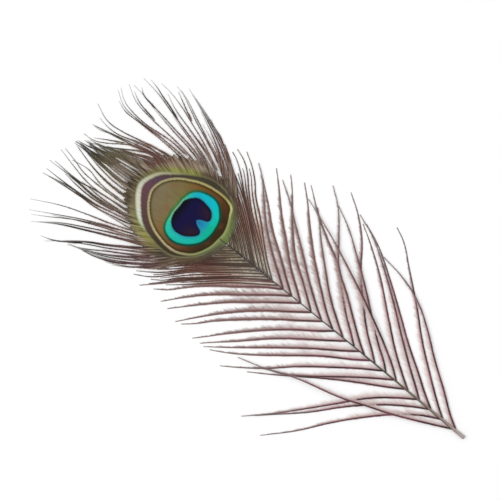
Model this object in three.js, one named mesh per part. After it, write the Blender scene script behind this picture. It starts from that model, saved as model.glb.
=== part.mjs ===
// A peacock's tail feather, lying face up: the quill's cut end towards -Y, the eye and its fringe towards +Y.
// Lengths in millimetres. Up is +Z and the surface it lies on is z = 0.
import * as THREE from "three";

// ---- driving dimensions ------------------------------------------------------------------------

const SHAFT_LENGTH = 200;
const SHAFT_BOW = 0.7;
const QUILL_WIDTH = 2.2;
const RACHIS_WIDTH = 0.45;
const WIDTH_FALL = 42;
const QUILL_HEIGHT = 2.0;
const RACHIS_HEIGHT = 0.8;
const HEIGHT_FALL = 90;
const JOIN_GAP = 0.32;

const BARB_WIDTH = 0.9;
const BARB_TIP_WIDTH = 0.34;
const BARB_THICKNESS = 0.32;
const BARB_ROOT_HEIGHT = 0.85;
const BARB_TIP_HEIGHT = 0.17;
const LAYER = 1.0;

const WEB_BOTTOM = 0.42;
const WEB_THICKNESS = 0.4;

const EYE_BOTTOM = 1.4;
const EYE_RIM = 0.3;
const EYE_DOME = 0.7;

const TUFT_ROOT_HEIGHT = 0.75;
const TUFT_RISE = 0.5;
const TUFT_TIP_HEIGHT = 0.3;
const TUFT_THICKNESS = 0.4;
const TUFT_TIP_WIDTH = 0.5;

const DARK_BROWN = "#463629";
const BARB_BROWN = "#5c4444";
const VANE_BROWN = "#643f30";
const EYE_OLIVE = "#7d6f49";
const TUFT_GREY = "#4a4038";

// ---- helpers -----------------------------------------------------------------------------------

const feather = new THREE.Group();
feather.name = "peacock_feather";

function addPiece(name, geometry, color, roughness) {
  const material = new THREE.MeshStandardMaterial({ color, roughness, metalness: 0 });
  geometry.computeVertexNormals();
  const mesh = new THREE.Mesh(geometry, material);
  mesh.name = name;
  feather.add(mesh);
}

function shaftCentre(y) {
  return 0.2 + SHAFT_BOW * Math.sin((Math.PI * y) / SHAFT_LENGTH);
}

// The shaft thins quickly above the quill and then slowly up to the eye.
function thinned(quill, rachis, fall, y) {
  return rachis + (quill - rachis) * Math.exp(-y / fall);
}

function shaftHalfWidth(y) {
  return thinned(QUILL_WIDTH, RACHIS_WIDTH, WIDTH_FALL, y) / 2;
}

// Moves every corner of a geometry with one rule.
function reshape(geometry, rule) {
  const corners = geometry.attributes.position;
  const corner = new THREE.Vector3();
  for (let i = 0; i < corners.count; i += 1) {
    corner.fromBufferAttribute(corners, i);
    rule(corner);
    corners.setXYZ(i, corner.x, corner.y, corner.z);
  }
  return geometry;
}

// A flattened strand along a line in plan; widthAt and heightAt take 0 at the root and 1 at the tip.
function strand(line, steps, thickness, widthAt, heightAt) {
  const path = new THREE.CatmullRomCurve3(line.map(([x, y]) => new THREE.Vector3(x, y, 0)));
  path.arcLengthDivisions = 100;
  const bar = new THREE.CylinderGeometry(1, 1, 1, 4, steps);
  return reshape(bar, (corner) => {
    const along = THREE.MathUtils.clamp(corner.y + 0.5, 0, 1);
    const centre = path.getPointAt(along);
    const ahead = path.getTangentAt(along);
    const side = (corner.x * widthAt(along)) / 2;
    const thin = thickness * (1 - 0.4 * along);
    corner.z = heightAt(along) + (corner.z * thin) / 2;
    corner.x = centre.x + ahead.y * side;
    corner.y = centre.y - ahead.x * side;
  });
}

// ---- shaft: quill and rachis in one, flat along its underside ------------------------------------

const FLAT = 0.58;

const shaft = new THREE.CylinderGeometry(1, 1, SHAFT_LENGTH, 10, 24);
reshape(shaft, (corner) => {
  const y = corner.y + SHAFT_LENGTH / 2;
  const height = thinned(QUILL_HEIGHT, RACHIS_HEIGHT, HEIGHT_FALL, y);
  corner.x = shaftCentre(y) + corner.x * shaftHalfWidth(y);
  corner.y = y;
  corner.z = (height * (Math.max(corner.z, -FLAT) + FLAT)) / (1 + FLAT);
});
addPiece("shaft", shaft, DARK_BROWN, 0.45);

// ---- loose barbs: each leaves the shaft's side and droops to the surface at its tip ---------------
// Station of the root along the shaft, layer where it crosses its neighbours, then points out to the tip.

const RIGHT_BARBS = [
  [6.5, 1, [5, 13.5], [13, 24.5], [24, 40.5], [35, 55], [42.5, 67], [47.5, 80.5], [50.4, 98.5]],
  [16, 0, [5.5, 23], [15.3, 36.5], [26.8, 51.3], [40, 66], [55, 84], [64, 95], [67.9, 103]],
  [24.5, 0, [5, 31.5], [13, 43.8], [21.3, 57], [32, 72], [45, 91], [53.5, 105], [58.6, 117.5]],
  [32.8, 1, [5, 38.5], [12.5, 49.5], [22, 62.5], [33.5, 77.5], [46.5, 96], [55, 110], [60.4, 123.7]],
  [41, 0, [5, 47.5], [13.5, 60], [25, 74.3], [40, 92.3], [50.5, 107.3], [57.4, 119]],
  [49.5, 2, [5, 54.8], [12, 66.5], [17.5, 77], [28.2, 99.3], [38, 121.5], [41.4, 130], [48.9, 151.5]],
  [57, 1, [4.5, 61], [10.5, 70], [19.5, 81.7], [30, 95], [41, 110], [50.5, 124], [56.5, 135.8]],
  [65, 0, [4.3, 69], [12.5, 79.9], [23, 91], [37, 104], [50, 113.8], [60, 124.8], [66.8, 135.3]],
  [72.5, 1, [4, 77.5], [11, 87.5], [20.5, 100.5], [30.5, 114.7], [42, 124], [56, 136], [63.3, 145.5]],
  [80, 0, [5, 85], [12, 94.5], [21.5, 105.3], [30.5, 115], [38, 128.5], [44.7, 140], [55.8, 155.3]],
  [88, 1, [5, 94.3], [14, 107.5], [25, 120], [35.5, 131.5], [44, 139.8], [48.5, 144.5]],
  [95.5, 0, [5.2, 102.4], [13.6, 113.6], [25.6, 128.4], [38.4, 142], [48, 151.5], [54.7, 159]],
  [103.5, 1, [5, 110], [14, 123], [25, 137], [35, 150.5], [41.5, 159], [48, 169.5]],
  [111, 0, [4, 115], [11.5, 125.5], [19, 136.5], [29.5, 147], [40, 155.7], [49, 163.5], [53.2, 167.8]],
  [118.5, 0, [4.4, 123], [12.8, 135], [22.5, 146], [33.3, 158.3], [43.2, 168], [51, 176.3]],
  [125, 0, [5, 131], [14, 143.5], [23.5, 157], [32, 166.5], [41.6, 178.4]],
  [131, 1, [5, 137], [14, 150], [24, 162], [34, 171.5], [43, 180.5], [47, 186]],
];

const LEFT_BARBS = [
  [8.5, 2, [-5.5, 19], [-10.5, 29.5], [-16, 42], [-20.5, 54], [-25.5, 66.5], [-33.6, 95],
    [-39.8, 110.5], [-42.4, 118.3], [-44.7, 126.3]],
  [17, 0, [-5, 26], [-13, 36.7], [-25, 49.3], [-40, 62.6], [-56, 75], [-70.7, 89]],
  [25.5, 0, [-5, 34], [-16, 49], [-28, 62], [-44, 76.6], [-57, 90.6], [-64, 98.2]],
  [34, 1, [-5, 41.5], [-16, 55], [-28, 65.6], [-44, 79.7], [-58, 92.6], [-69, 104]],
  [43, 0, [-5, 51.3], [-13, 65], [-22.5, 80], [-33, 95], [-40, 105], [-47.7, 117]],
  [51, 1, [-5, 59], [-13, 70], [-22, 81.5], [-31, 93.3], [-36.5, 102], [-41, 111.8], [-47, 119.7]],
  [59, 0, [-5.5, 68], [-15, 81], [-28, 97.5], [-40, 110.6], [-49, 122.5], [-54.7, 131]],
  [68, 0, [-5, 75.7], [-15, 91], [-28, 107.4], [-40, 122.7], [-47, 133.2], [-51.3, 141]],
  [76, 0, [-5, 83.5], [-15, 97.7], [-28, 114.3], [-40, 129], [-47, 138], [-52.2, 145]],
  [85, 0, [-5, 92.5], [-15, 106.2], [-25, 118.6], [-38, 132.2], [-48, 143.4], [-52, 147.7]],
  [94, 0, [-5, 101], [-15, 114.5], [-28, 129], [-40, 141], [-47, 147.5], [-52.5, 152.8]],
  [102.5, 0, [-5, 110], [-15, 123.5], [-28, 139], [-38, 150], [-45, 156.5], [-50.3, 162.6]],
  [110.5, 0, [-6, 119.3], [-15, 131.2], [-28, 145.5], [-40, 156.5], [-51.2, 166]],
  [118.5, 0, [-4.5, 125.5], [-15, 138.7], [-25, 150.7], [-35, 161], [-48.4, 174]],
  [125, 0, [-4, 131.5], [-15, 145.2], [-25, 157.7], [-35, 168.2], [-47.6, 179.5]],
  [131, 0, [-5, 139.8], [-15, 152.5], [-24, 164.2], [-33, 173.7], [-40, 180.3], [-44.8, 187]],
  [137.5, 0, [-5, 146.7], [-15, 159.6], [-25, 171], [-35, 181], [-42, 188], [-48, 194.3]],
];

function barbWidth(along) {
  return THREE.MathUtils.lerp(BARB_WIDTH, BARB_TIP_WIDTH, along);
}

function addBarbs(label, side, barbs) {
  barbs.forEach(([station, layer, ...points], index) => {
    const rootX = shaftCentre(station) + side * (shaftHalfWidth(station) + JOIN_GAP + BARB_WIDTH / 4);
    const height = (along) => {
      const droop = THREE.MathUtils.lerp(BARB_ROOT_HEIGHT, BARB_TIP_HEIGHT, along);
      return droop + layer * LAYER * Math.sin(Math.PI * 0.85 * along);
    };
    const line = [[rootX, station], ...points];
    const geometry = strand(line, 14, BARB_THICKNESS, barbWidth, height);
    const number = String(index + 1).padStart(2, "0");
    addPiece(`${label}_barb_${number}`, geometry, BARB_BROWN, 0.7);
  });
}

addBarbs("right", 1, RIGHT_BARBS);
addBarbs("left", -1, LEFT_BARBS);

// ---- webs: the barbs beside the eye, held together and loose only at their ends -----------------

const RIGHT_WEB = [
  [1.5, 139], [8, 148.5], [16, 157.5], [24, 166.3], [32, 174.8], [38, 181], [42.5, 186.5], [47.6, 195],
  [42.5, 190], [37, 184.6], [41, 189.8], [45.8, 200], [41, 194], [36, 188.5], [39, 193.2], [42.6, 201.2],
  [37, 196], [33, 191.8], [29, 187.5], [25, 183], [21, 187], [12, 181], [1.2, 180],
];

const LEFT_WEB = [
  [-0.3, 145], [-0.2, 180], [-12, 182], [-20, 187], [-24, 183], [-28, 186], [-33, 191.3], [-38, 197.6],
  [-45, 205.4], [-40.5, 198], [-36, 192.4], [-40, 196], [-44.8, 200.4], [-40, 192.5], [-35, 187.1],
  [-38, 189.6], [-41.7, 192.6], [-38.5, 187.5], [-33, 181.2], [-26, 174], [-16, 162.8], [-7, 152],
];

function addWeb(name, outline) {
  const shape = new THREE.Shape(outline.map(([x, y]) => new THREE.Vector2(x, y)));
  const web = new THREE.ExtrudeGeometry(shape, { depth: WEB_THICKNESS, bevelEnabled: false });
  web.translate(0, 0, WEB_BOTTOM);
  addPiece(name, web, VANE_BROWN, 0.6);
}

addWeb("right_web", RIGHT_WEB);
addWeb("left_web", LEFT_WEB);

// ---- eye: the dense vane that carries the ocellus, a thin plate with a low dome ------------------

const EYE_CENTRE = [-0.8, 200];

const EYE_OUTLINE = [
  [25, 198], [24, 206], [22, 214], [18.5, 221.5], [12, 228], [4.5, 231.2], [-3.5, 232], [-11.5, 230],
  [-18.5, 224.5], [-23.5, 216.5], [-26, 207], [-26.5, 198], [-25, 189.5], [-21, 182], [-15, 176.5],
  [-8, 173], [0.4, 171.5], [8.5, 173], [15.5, 176.8], [20.5, 182], [24, 189.5],
];

const eyeOutline = new THREE.CatmullRomCurve3(
  EYE_OUTLINE.map(([x, y]) => new THREE.Vector3(x, y, 0)),
  true,
);
const eyeSection = [
  [0, EYE_BOTTOM],
  [1, EYE_BOTTOM],
  [1, EYE_BOTTOM + EYE_RIM],
  [0.55, EYE_BOTTOM + EYE_RIM + EYE_DOME * 0.7],
  [0, EYE_BOTTOM + EYE_RIM + EYE_DOME],
];
const eye = new THREE.LatheGeometry(eyeSection.map(([r, z]) => new THREE.Vector2(r, z)), 56);
reshape(eye, (corner) => {
  const out = Math.hypot(corner.x, corner.z);
  const turn = (Math.atan2(corner.x, corner.z) / (2 * Math.PI) + 1) % 1;
  const rim = eyeOutline.getPoint(turn);
  const z = corner.y;
  corner.x = EYE_CENTRE[0] + (rim.x - EYE_CENTRE[0]) * out;
  corner.y = EYE_CENTRE[1] + (rim.y - EYE_CENTRE[1]) * out;
  corner.z = z;
});
addPiece("eye_vane", eye, EYE_OLIVE, 0.5);

// ---- crown: the long free ends of the eye's barbs, in tufts, from the left flank round to the right
// Widest width, then points from under the eye's rim out to the tip.

const CROWN = [
  [5.4, [-23.5, 186.5], [-30, 192.8], [-37, 202], [-43, 210.7], [-48, 219.5], [-52.3, 230], [-55.8, 240]],
  [3.4, [-24, 193], [-31, 204], [-36.5, 212.5], [-43, 222.5], [-48, 231.5], [-54, 240.5], [-62.5, 251.5]],
  [2.6, [-23, 199], [-29, 209.5], [-33.5, 218.5], [-38.8, 229.5], [-43, 238], [-50, 251.5], [-58.7, 264.3]],
  [2.4, [-22.5, 203], [-27, 211.5], [-31, 221], [-35.5, 232], [-40, 242], [-47, 255.5], [-54.2, 269]],
  [0.9, [-22.2, 206.5], [-25.5, 213], [-28.5, 221], [-31.5, 230], [-36, 244], [-41, 257], [-49.2, 272.5]],
  [2.2, [-21.5, 211], [-24.3, 220], [-27, 231], [-29.2, 241], [-30, 252], [-31.2, 263], [-33.5, 276.2]],
  [2.2, [-19.8, 215], [-22.2, 223], [-24.2, 233], [-25.7, 245], [-25.4, 258], [-25.6, 277.5]],
  [1.7, [-17.6, 217], [-19.8, 225], [-21.2, 234], [-22.4, 244], [-22.2, 254], [-20.2, 264], [-17, 276.3]],
  [1.5, [-15.5, 219], [-17.3, 227], [-18.2, 237], [-18, 248], [-16, 257.5], [-17.5, 268]],
  [1.6, [-13, 221], [-14.3, 229], [-14.8, 238], [-14.4, 249], [-12.8, 259.5], [-9.8, 271]],
  [5.2, [-8, 223], [-9.3, 231], [-9.8, 240], [-9.3, 252], [-8.4, 262], [-8, 273.4]],
  [6, [-1.5, 223], [-2.2, 231], [-3, 241], [-3.8, 252], [-4.3, 261], [-4.6, 269.5]],
  [7, [10, 220], [8.2, 229], [5, 239.5], [1.6, 250], [-0.9, 258.5], [-2.4, 267]],
  [3.6, [15.7, 217], [14.7, 228], [13.4, 237], [11.2, 246], [9.2, 254], [7.3, 262], [5, 272]],
  [1.9, [18.7, 213.5], [18.8, 224], [17.3, 235], [14.6, 247], [12.4, 257], [11.8, 266], [15.8, 276.8]],
  [2.2, [20.8, 209], [22, 217], [23, 228], [23.2, 241], [22.9, 254], [24, 264.5], [29, 273]],
  [1.7, [22.3, 205], [25.2, 214], [27, 224], [28, 236], [28.7, 249], [30.6, 261], [35.3, 270]],
  [1.3, [23, 201], [27, 211.5], [29.3, 221], [31.2, 234], [33.4, 247], [35.3, 258], [36.8, 267.5]],
  [1.6, [23.2, 197.5], [28.5, 209], [31.8, 219], [35, 231], [38.2, 243], [41.3, 254], [43.2, 266]],
  [1.5, [23, 194], [29.6, 204], [34.9, 215], [40, 228.5], [44.3, 240.5], [46.4, 249], [47.2, 256]],
  [1.4, [24.5, 190.5], [32, 203.6], [37.3, 215.3], [42, 226.5], [46.6, 236], [50, 243], [51.4, 248.5]],
  [5.6, [23.5, 184.8], [31, 193.2], [37, 202], [42.2, 211.3], [46.8, 221.5], [50.9, 232], [54.6, 242.3]],
];

function tuftHeight(along) {
  const droop = THREE.MathUtils.lerp(TUFT_ROOT_HEIGHT, TUFT_TIP_HEIGHT, along);
  return droop + TUFT_RISE * Math.sin(Math.PI * along);
}

CROWN.forEach(([width, ...line], index) => {
  const fullness = (along) => Math.sin(Math.PI * (0.25 + 0.75 * along));
  const widthAt = (along) => THREE.MathUtils.lerp(TUFT_TIP_WIDTH, width, fullness(along));
  const tuft = strand(line, 12, TUFT_THICKNESS, widthAt, tuftHeight);
  const number = String(index + 1).padStart(2, "0");
  addPiece(`crown_tuft_${number}`, tuft, TUFT_GREY, 0.7);
});

// ---- the origin sits under the middle of the feather ---------------------------------------------

const box = new THREE.Box3().setFromObject(feather);
for (const mesh of feather.children) {
  mesh.geometry.translate(-(box.min.x + box.max.x) / 2, -(box.min.y + box.max.y) / 2, -box.min.z);
}

export default feather;
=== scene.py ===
import math

import bmesh
import bpy
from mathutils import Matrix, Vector


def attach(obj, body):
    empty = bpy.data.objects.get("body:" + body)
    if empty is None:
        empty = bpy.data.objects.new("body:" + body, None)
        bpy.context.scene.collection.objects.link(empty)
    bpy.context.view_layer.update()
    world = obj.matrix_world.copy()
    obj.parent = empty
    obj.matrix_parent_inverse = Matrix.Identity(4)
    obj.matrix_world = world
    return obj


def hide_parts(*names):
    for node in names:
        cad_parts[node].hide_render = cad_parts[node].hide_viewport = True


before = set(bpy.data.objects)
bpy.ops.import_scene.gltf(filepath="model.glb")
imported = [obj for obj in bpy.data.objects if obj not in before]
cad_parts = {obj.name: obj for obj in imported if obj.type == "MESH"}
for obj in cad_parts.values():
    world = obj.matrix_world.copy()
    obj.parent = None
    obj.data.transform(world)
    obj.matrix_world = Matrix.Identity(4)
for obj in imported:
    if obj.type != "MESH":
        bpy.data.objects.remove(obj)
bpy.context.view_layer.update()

# ---- shaft ----
# The rachis: one horny tube filled with pith, cut straight across at the quill end. It tapers from the
# quill to a hair under the eye, is flat below, rounded above, and carries every barb on its two sides.

CUT_END = Vector((1.382, -138.751, 0.0))  # millimetres from the origin to the shaft's cut end
SHAFT_LENGTH = 200
SHAFT_FLAT = 0.58  # how far below its middle the round section turns flat, as a share of its radius


def at(x, y, z=0.0):
    """A place given in millimetres from the cut end, with +y to the tip, as metres in the model."""
    return (Vector((x, y, z)) + CUT_END) / 1000


def paint(code):
    """An sRGB hex colour as linear red, green, blue and alpha."""
    parts = [int(code[i : i + 2], 16) / 255 for i in (0, 2, 4)]
    return [c / 12.92 if c <= 0.04045 else ((c + 0.055) / 1.055) ** 2.4 for c in parts] + [1.0]


def add(tree, kind, feeds=(), stops=(), **settings):
    """Adds a node with its settings and gives its first output in use.

    A kind without "Node" in it is a shader node's. Feeds set or drive the inputs in use, in order or by
    name; stops are a colour ramp's places and hex colours.
    """
    node = tree.nodes.new(kind if "Node" in kind else "ShaderNode" + kind)
    for name, value in settings.items():
        setattr(node, name, value)
    in_use = [socket for socket in node.inputs if socket.enabled]
    named = isinstance(feeds, dict)
    for key, value in feeds.items() if named else enumerate(feeds):
        socket = node.inputs[key] if named else in_use[key]
        if isinstance(value, bpy.types.NodeSocket):
            tree.links.new(value, socket)
        else:
            socket.default_value = paint(value) if socket.type == "RGBA" else value
    for place, code in stops[1:-1]:
        node.color_ramp.elements.new(place).color = paint(code)
    for i in (0, -1) if stops else ():
        end = node.color_ramp.elements[i]
        end.position, end.color = stops[i][0], paint(stops[i][1])
    return next((socket for socket in node.outputs if socket.enabled), None)


def finish(name, roughness, gloss):
    """A new material with its surface shader and its place in millimetres from the cut end."""
    material = bpy.data.materials.new(name)
    material.use_nodes = True
    tree = material.node_tree
    shader = tree.nodes["Principled BSDF"]
    shader.inputs["Roughness"].default_value = roughness
    shader.inputs["Specular IOR Level"].default_value = gloss
    where = add(tree, "TexCoord").node.outputs["Object"]
    scaled = add(tree, "VectorMath", [where, (1000, 1000, 1000)], operation="MULTIPLY")
    return material, tree, shader, add(tree, "VectorMath", [scaled, CUT_END], operation="SUBTRACT")


def mottle(tree, place, stretch, detail=2.0):
    """Soft random patches; stretch is how many of them lie along one millimetre in x, y and z."""
    moved = add(tree, "Mapping", {"Vector": place, "Scale": stretch})
    return add(tree, "TexNoise", {"Vector": moved, "Scale": 1.0, "Detail": detail})


def centre_of_shaft(y):
    """How far to the right the bowed shaft's middle lies, y millimetres up from the cut."""
    return 0.2 + 0.7 * math.sin(math.pi * y / SHAFT_LENGTH)


def half_width_of_shaft(y):
    """Half the shaft's width, which drops fast past the quill."""
    return (0.45 + 1.75 * math.exp(-y / 42)) / 2


def top_of_shaft(y):
    """How high the shaft's round back stands off the table."""
    return 0.8 + 1.2 * math.exp(-y / 90)


def piece(name, mesh, material, slot, *nodes):
    """Puts a finished mesh on the table as one piece that stands for those solids."""
    made = bpy.data.objects.new(name, mesh)
    bpy.context.collection.objects.link(made)
    mesh.materials.clear()
    mesh.materials.append(material)
    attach(made, "root")
    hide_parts(*nodes)
    return made


form = bmesh.new()
bmesh.ops.create_cone(form, cap_ends=True, segments=24, radius1=1, radius2=1, depth=1)
long_edges = [e for e in form.edges if abs(e.verts[0].co.z - e.verts[1].co.z) > 0.5]
bmesh.ops.subdivide_edges(form, edges=long_edges, cuts=SHAFT_LENGTH)
# The cut end is dished a little, where the pith has shrunk back from the horn.
cut_face = next(f for f in form.faces if f.normal.z < -0.9)
bmesh.ops.inset_region(form, faces=[cut_face], thickness=0.22, depth=0)
for corner in cut_face.verts:
    corner.co.z += 0.002
flank = form.verts.layers.float.new("flank")
for corner in form.verts:
    y = (corner.co.z + 0.5) * SHAFT_LENGTH
    lump = 1 + 0.02 * math.sin(y * 0.9) + 0.012 * math.sin(y * 2.3 + 1)
    x = centre_of_shaft(y) + corner.co.x * half_width_of_shaft(y) * lump
    height = max(corner.co.y, -SHAFT_FLAT) + SHAFT_FLAT
    corner[flank] = corner.co.x
    corner.co = at(x, y, top_of_shaft(y) * height / (1 + SHAFT_FLAT))
bmesh.ops.recalc_face_normals(form, faces=form.faces)
shaft_mesh = bpy.data.meshes.new("shaft")
form.to_mesh(shaft_mesh)
form.free()
shaft_mesh.shade_smooth()

# Horn: a hard keratin skin with a low gloss, mauve grey at the cut and then ever darker browns, with a
# wide band of painted shade down its left side and a thin one down its right edge, where its round back
# turns away.
horn, tree, shader, place = finish("horn keratin", 0.42, 0.25)
spot = add(tree, "SeparateXYZ", [place]).node.outputs
grain = mottle(tree, place, (2.5, 0.16, 2.5), 3.0)
up_shaft = add(tree, "MapRange", [spot["Y"], 0.0, SHAFT_LENGTH])
tone = add(tree, "Math", [grain, 0.05, up_shaft], operation="MULTIPLY_ADD")
skin = add(tree, "ValToRGB", [tone], stops=[
    (0.03, "A89C9A"), (0.07, "A0908A"), (0.15, "8E7E70"), (0.24, "73654E"), (0.38, "4C4030"),
    (1.0, "2A201C"),
])
# Painted shade: the shaft's left half and right edge are darkened, standing in for the shade on the flanks
# of its round back.
edge = add(tree, "Attribute", attribute_name="flank").node.outputs["Fac"]
left_painted_shade = add(tree, "MapRange", [edge, 0.1, -0.6])
right_painted_shade = add(tree, "MapRange", [edge, 0.75, 1.0, 0.0, 0.6])
flank_painted_shade = add(tree, "Math", [left_painted_shade, right_painted_shade], operation="MAXIMUM")
strength = add(tree, "MapRange", [spot["Y"], 2.0, 14.0, 0.15, 0.75])
flank_painted_shade = add(tree, "Math", [flank_painted_shade, strength], operation="MULTIPLY")
skin_with_painted_shade = add(tree, "Mix", [flank_painted_shade, skin, "2A201C"], data_type="RGBA")
tree.links.new(skin_with_painted_shade, shader.inputs["Base Color"])
rub = add(tree, "Bump", {"Height": grain, "Distance": 0.00005, "Strength": 0.4})
tree.links.new(rub, shader.inputs["Normal"])
piece("shaft_horn", shaft_mesh, horn, "quill", "shaft")

# ---- loose barbs ----
# Each barb is a stiff rib with hundreds of soft barbules along both edges, grown from the shaft's side.
# These lower barbs have no hooks, so they part from each other and cross; each droops to the table.

plume = bpy.data.node_groups.new("ribs with barbules", "GeometryNodeTree")
for kind, name in (
    ("Geometry", "Ribs"),
    ("Float", "Spacing"),
    ("Float", "Left Reach"),
    ("Float", "Right Reach"),
    ("Float", "Spread"),
    ("Float", "Hair Width"),
    ("Float", "Root Gap"),
    ("Float", "Droop"),
    ("Float", "Tip Reach"),
    ("Int", "Seed"),
):
    plume.interface.new_socket(name=name, in_out="INPUT", socket_type=f"NodeSocket{kind}")
plume.interface.new_socket(name="Mesh", in_out="OUTPUT", socket_type="NodeSocketGeometry")
given = add(plume, "NodeGroupInput").node.outputs


def spot_of():
    """The place of each point, and the same split into x, y and z."""
    place = add(plume, "GeometryNodeInputPosition")
    return place, add(plume, "SeparateXYZ", [place]).node.outputs


# The rib: a six-sided tube as thick as its line says, marked with how far along it each ring lies.
STORE = "GeometryNodeStoreNamedAttribute"
along = add(plume, "GeometryNodeSplineParameter")
ribs = add(plume, "GeometryNodeSetCurveNormal", {"Curve": given["Ribs"]}, mode="Z_UP")
even = add(plume, "GeometryNodeResampleCurve", {"Curve": ribs, "Length": 0.0016}, mode="LENGTH")
even = add(plume, STORE, {"Geometry": even, "Name": "along", "Value": along})
section = add(plume, "GeometryNodeCurvePrimitiveCircle", {"Resolution": 6, "Radius": 1.0})
section = add(plume, "GeometryNodeTransform", {"Geometry": section, "Scale": (1.0, 0.6, 1.0)})
thickness = add(plume, "GeometryNodeInputRadius")
feeds = {"Curve": even, "Profile Curve": section, "Scale": thickness, "Fill Caps": True}
tube = add(plume, "GeometryNodeCurveToMesh", feeds)

# One barbule: a flat three-sided blade, a little fuller than a cone, closed at its root and its tip.
feeds = {"Vertices": 3, "Side Segments": 2, "Radius Top": 0.0, "Radius Bottom": 1.0, "Depth": 1.0}
blade = add(plume, "GeometryNodeMeshCone", feeds)
blade_place, blade_spot = spot_of()
fuller = add(plume, "Math", [blade_spot["Z"], 1.0], operation="ADD")
bulge = add(plume, "CombineXYZ", [fuller, fuller, 1.0])
bulged = add(plume, "VectorMath", [blade_place, bulge], operation="MULTIPLY")
barbule = add(plume, "GeometryNodeSetPosition", {"Geometry": blade, "Position": bulged})
for name, value in (("reach", blade_spot["Z"]), ("edge", blade_spot["Y"])):
    barbule = add(plume, STORE, {"Geometry": barbule, "Name": name, "Value": value})

# Barbules stand in a row along each side, longest a fifth of the way up and short at the tip. They lean
# to the tip, no two alike, and hang a little where there is room below them. Real ones are too fine and
# too many to draw, so these are thicker and stand further apart.
marks = {}
for name in ("reach", "length", "edge", "along", "side"):
    marks[name] = add(plume, "GeometryNodeInputNamedAttribute", {"Name": name})
halves = []
for side, reach_name in ((1.0, "Left Reach"), (-1.0, "Right Reach")):
    feeds = {"Curve": ribs, "Length": given["Spacing"]}
    roots = add(plume, "GeometryNodeResampleCurve", feeds, mode="LENGTH")
    seed = add(plume, "Math", [given["Seed"], side * 7.0], operation="ADD")
    chances = []
    for low, high in ((0.7, 1.1), (-0.16, 0.16), (-0.45, 0.45)):
        feeds = {"Min": low, "Max": high, "Seed": seed}
        chances.append(add(plume, "FunctionNodeRandomValue", feeds, data_type="FLOAT"))
    profile = add(plume, "FloatCurve", {"Value": along})
    bend = profile.node.mapping.curves[0]
    for where, level in ((0.04, 0.85), (0.2, 1.0), (0.5, 0.7), (0.8, 0.32)):
        bend.points.new(where, level)
    bend.points[0].location = (0.0, 0.3)
    bend.points[-1].location = (1.0, 0.12)
    profile.node.mapping.update()
    root_place, root_spot = spot_of()
    slow = add(plume, "TexNoise", {"Vector": root_place, "Scale": 260.0, "Detail": 1.0})
    clump = add(plume, "MapRange", [slow, 0.3, 0.7, 0.72, 1.15])
    reach = add(plume, "Math", [profile, given["Tip Reach"]], operation="MAXIMUM")
    for share in (given[reach_name], clump, chances[0]):
        reach = add(plume, "Math", [reach, share], operation="MULTIPLY")
    turned = add(plume, "Math", [given["Spread"], chances[1]], operation="ADD")
    turned = add(plume, "Math", [turned, side], operation="MULTIPLY")
    tangent = add(plume, "GeometryNodeInputTangent")
    slip = add(plume, "Math", [chances[2], given["Spacing"]], operation="MULTIPLY")
    slide = add(plume, "VectorMath", [tangent, slip], operation="SCALE")
    heading = add(plume, "VectorRotate", {"Vector": tangent, "Axis": (0, 0, 1), "Angle": turned})
    room = add(plume, "Math", [root_spot["Z"], 0.00016], operation="SUBTRACT")
    room = add(plume, "Math", [room, reach], operation="DIVIDE")
    drop = add(plume, "MapRange", [room, 0.0, 0.6, 0.0, -1.0])
    drop = add(plume, "Math", [drop, given["Droop"]], operation="MULTIPLY")
    dip = add(plume, "CombineXYZ", {"Z": drop})
    aim = add(plume, "VectorMath", [heading, dip], operation="ADD")
    feeds = {"Primary Axis": aim, "Secondary Axis": (0.0, 0.0, 1.0)}
    facing = add(plume, "FunctionNodeAxesToRotation", feeds, primary_axis="Z", secondary_axis="X")
    thin = add(plume, "Math", [given["Hair Width"], 0.3], operation="MULTIPLY")
    size = add(plume, "CombineXYZ", [thin, given["Hair Width"], reach])
    feeds = [along, given["Root Gap"]]
    past_root = add(plume, "FunctionNodeCompare", feeds, operation="GREATER_THAN")
    length = add(plume, "Math", [reach, 1000.0], operation="MULTIPLY")
    for name, value in (("along", along), ("length", length)):
        roots = add(plume, STORE, {"Geometry": roots, "Name": name, "Value": value})
    feeds = {
        "Points": add(plume, "GeometryNodeSetPosition", {"Geometry": roots, "Offset": slide}),
        "Instance": barbule,
        "Rotation": facing,
        "Scale": size,
        "Selection": past_root,
    }
    grown = add(plume, "GeometryNodeInstanceOnPoints", feeds)
    half = add(plume, "GeometryNodeRealizeInstances", {"Geometry": grown})
    out = add(plume, "Math", [marks["reach"], marks["length"]], operation="MULTIPLY")
    for name, value in (("side", side), ("out", out)):
        half = add(plume, STORE, {"Geometry": half, "Name": name, "Value": value})
    halves.append(half)

whole = add(plume, "GeometryNodeJoinGeometry")
for half in (tube, *halves):
    plume.links.new(half, whole.node.inputs[0])

# The map for baking: along the rib one way, and out along the barbules of each side the other way.
shifted = add(plume, "Math", [marks["edge"], 0.012, marks["along"]], operation="MULTIPLY_ADD")
outward = add(plume, "Math", [marks["reach"], marks["side"]], operation="MULTIPLY")
across = add(plume, "MapRange", [shifted, 0.0, 1.0, 0.02, 0.98])
band = add(plume, "MapRange", [outward, -1.0, 1.0, 0.02, 0.98])
unrolled = add(plume, "CombineXYZ", [across, band])
feeds = {"Geometry": whole, "Name": "OFBake", "Value": unrolled}
mapped = add(plume, STORE, feeds, domain="CORNER", data_type="FLOAT2")
add(plume, "NodeGroupOutput", {"Mesh": mapped})


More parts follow.
